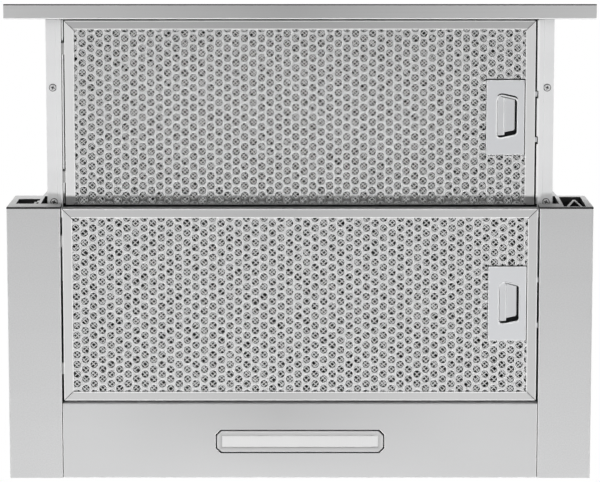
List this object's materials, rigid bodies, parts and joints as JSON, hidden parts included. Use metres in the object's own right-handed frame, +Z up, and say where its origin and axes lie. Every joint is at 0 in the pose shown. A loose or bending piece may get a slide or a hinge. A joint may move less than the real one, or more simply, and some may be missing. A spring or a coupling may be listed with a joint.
{
  "type": "slide-out range hood",
  "caption": "Slide-out under-cabinet range hood: tray with a pull-out drawer, latched perforated grease filters, strip light, blower box and duct collar.",
  "frame": {"origin": "centre of the four cabinet screw holes, on the tray's top face where it meets the cabinet", "axes": "+Z up into the cabinet, +Y to the wall, -Y to the cook, +X to the right as seen from the front"},
  "size_m": [0.6, 0.4883, 0.232],
  "materials": {
    "tray_paint": "satin silver-grey paint",
    "front_steel": "fine satin steel",
    "zinc_sheet": "galvanised sheet",
    "rail_paint": "satin pale grey paint",
    "cap_plastic": "satin grey moulding",
    "filter_aluminium": "satin rolled aluminium",
    "sheet_aluminium": "satin perforated aluminium",
    "mesh_aluminium": "expanded aluminium",
    "latch_plastic": "pale grey moulding",
    "slider_plastic": "pale grey moulding",
    "bezel_plastic": "satin grey moulding",
    "lens_plastic": "frosted white diffuser",
    "board_metal": "white coated board on a metal sink",
    "black_plastic": "black moulding",
    "grey_plastic": "mid-grey moulding",
    "flap_plastic": "dark grey moulding",
    "glide_plastic": "black acetal",
    "shaft_steel": "bright steel",
    "motor_metal": "dark varnished stack and shell",
    "button_plastic": "dark grey keys"
  },
  "bodies": {
    "body": {"left_side_case": "tray_paint", "right_side_case": "tray_paint", "rear_panel": "tray_paint", "deck_plate": "zinc_sheet", "front_crossbar": "tray_paint", "left_end_cap": "cap_plastic", "right_end_cap": "cap_plastic", "left_guide_channel": "zinc_sheet", "right_guide_channel": "zinc_sheet", "glide_pads": "glide_plastic", "led_bezel": "bezel_plastic", "led_lens": "lens_plastic", "led_board": "board_metal", "led_driver": "black_plastic", "drawer_switch": "black_plastic", "motor_box": "zinc_sheet", "blower_base": "grey_plastic", "blower_scroll": "grey_plastic", "motor_plate": "zinc_sheet", "motor": "motor_metal", "capacitor": "grey_plastic", "terminal_box": "grey_plastic", "terminal_cover": "black_plastic", "cable_gland": "black_plastic", "duct_collar": "black_plastic", "damper_pin": "shaft_steel"},
    "drawer": {"fascia": "front_steel", "drawer_crossmember": "zinc_sheet", "left_rail": "rail_paint", "right_rail": "rail_paint", "drawer_top": "zinc_sheet", "rail_glides": "glide_plastic", "rail_screws": "shaft_steel", "switch_block": "black_plastic"},
    "rear_filter": {"rear_filter_frame": "filter_aluminium", "rear_filter_sheet": "sheet_aluminium", "rear_filter_mesh": "mesh_aluminium", "rear_latch_housing": "latch_plastic"},
    "rear_latch": {"rear_latch_slider": "slider_plastic"},
    "front_filter": {"front_filter_frame": "filter_aluminium", "front_filter_sheet": "sheet_aluminium", "front_filter_mesh": "mesh_aluminium", "front_latch_housing": "latch_plastic"},
    "front_latch": {"front_latch_slider": "slider_plastic"},
    "rotor": {"impeller_plate": "black_plastic", "impeller_ring": "black_plastic", "impeller_blades": "black_plastic", "motor_shaft": "shaft_steel"},
    "front_flap": {"front_damper_flap": "flap_plastic"},
    "rear_flap": {"rear_damper_flap": "flap_plastic"},
    "button_1": {"push_button_1": "button_plastic"},
    "button_2": {"push_button_2": "button_plastic"},
    "button_3": {"push_button_3": "button_plastic"},
    "button_4": {"push_button_4": "button_plastic"}
  },
  "joints": [
    {"name": "drawer_slide", "type": "slide", "parent": "body", "child": "drawer", "axis": [0, -1, 0], "range_m": [-0.19, 0]},
    {"name": "rear_filter_swing", "type": "hinge", "parent": "body", "child": "rear_filter", "pos_m": [-0.2455, -0.0403, -0.0638], "axis": [0, 1, 0], "range_deg": [0, 30]},
    {"name": "rear_latch_slide", "type": "slide", "parent": "rear_filter", "child": "rear_latch", "axis": [-1, 0, 0], "range_m": [0, 0.005], "stiffness_N_per_m": 300, "springref_m": -0.005},
    {"name": "front_filter_swing", "type": "hinge", "parent": "drawer", "child": "front_filter", "pos_m": [-0.245, -0.23585, -0.0374], "axis": [0, 1, 0], "range_deg": [0, 30]},
    {"name": "front_latch_slide", "type": "slide", "parent": "front_filter", "child": "front_latch", "axis": [-1, 0, 0], "range_m": [0, 0.005], "stiffness_N_per_m": 300, "springref_m": -0.005},
    {"name": "impeller_spin", "type": "hinge", "parent": "body", "child": "rotor", "pos_m": [-0.158, -0.012, 0.04], "axis": [0, 0, 1], "continuous": true},
    {"name": "front_flap_lift", "type": "hinge", "parent": "body", "child": "front_flap", "pos_m": [0, 0.044, 0.1164], "axis": [-1, 0, 0], "range_deg": [0, 70]},
    {"name": "rear_flap_lift", "type": "hinge", "parent": "body", "child": "rear_flap", "pos_m": [0, 0.044, 0.1164], "axis": [1, 0, 0], "range_deg": [0, 70]},
    {"name": "button_1_press", "type": "slide", "parent": "drawer", "child": "button_1", "axis": [0, 1, 0], "range_m": [0, 0.0025], "stiffness_N_per_m": 400, "springref_m": -0.001},
    {"name": "button_2_press", "type": "slide", "parent": "drawer", "child": "button_2", "axis": [0, 1, 0], "range_m": [0, 0.0025], "stiffness_N_per_m": 400, "springref_m": -0.001},
    {"name": "button_3_press", "type": "slide", "parent": "drawer", "child": "button_3", "axis": [0, 1, 0], "range_m": [0, 0.0025], "stiffness_N_per_m": 400, "springref_m": -0.001},
    {"name": "button_4_press", "type": "slide", "parent": "drawer", "child": "button_4", "axis": [0, 1, 0], "range_m": [0, 0.0025], "stiffness_N_per_m": 400, "springref_m": -0.001}
  ]
}
